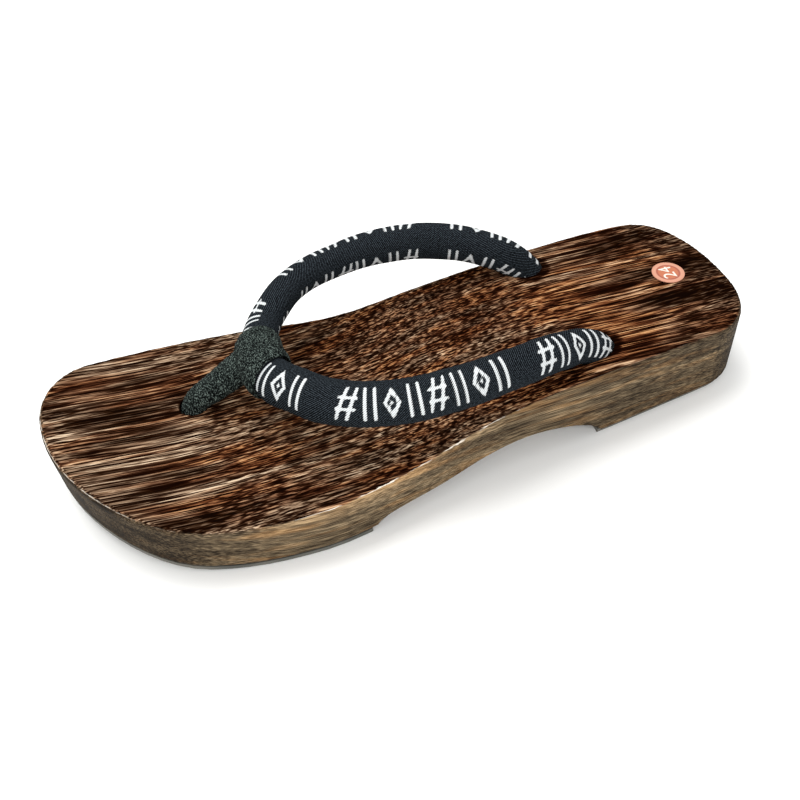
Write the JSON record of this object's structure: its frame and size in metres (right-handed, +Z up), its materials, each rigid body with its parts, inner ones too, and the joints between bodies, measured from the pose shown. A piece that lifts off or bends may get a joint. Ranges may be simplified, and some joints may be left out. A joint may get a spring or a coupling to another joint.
{
  "type": "wooden thong sandal",
  "caption": "Low left-foot wooden sandal: a scorched, arched wooden deck on rubber soles, with a padded cloth strap bent to a U and a thong between the toes.",
  "frame": {"origin": "on the floor, under the middle of the sandal's box", "axes": "+X from heel to toes, +Y to the outer side of the left foot, +Z up"},
  "size_m": [0.25, 0.1042, 0.0493],
  "materials": {
    "scorched_wood": "scorched, brushed and satin lacquered light hardwood",
    "sole_rubber": "moulded grey-black rubber sheet",
    "strap_cloth": "charcoal twill with a woven white pattern over padding",
    "thong_cloth": "coarse crinkled black-green cloth",
    "sticker_paper": "printed paper sticker with a thin clear film"
  },
  "bodies": {
    "root": {"deck": "scorched_wood", "forefoot_sole": "sole_rubber", "heel_sole": "sole_rubber", "straps": "strap_cloth", "toe_thong": "thong_cloth", "size_sticker": "sticker_paper"}
  },
  "joints": []
}
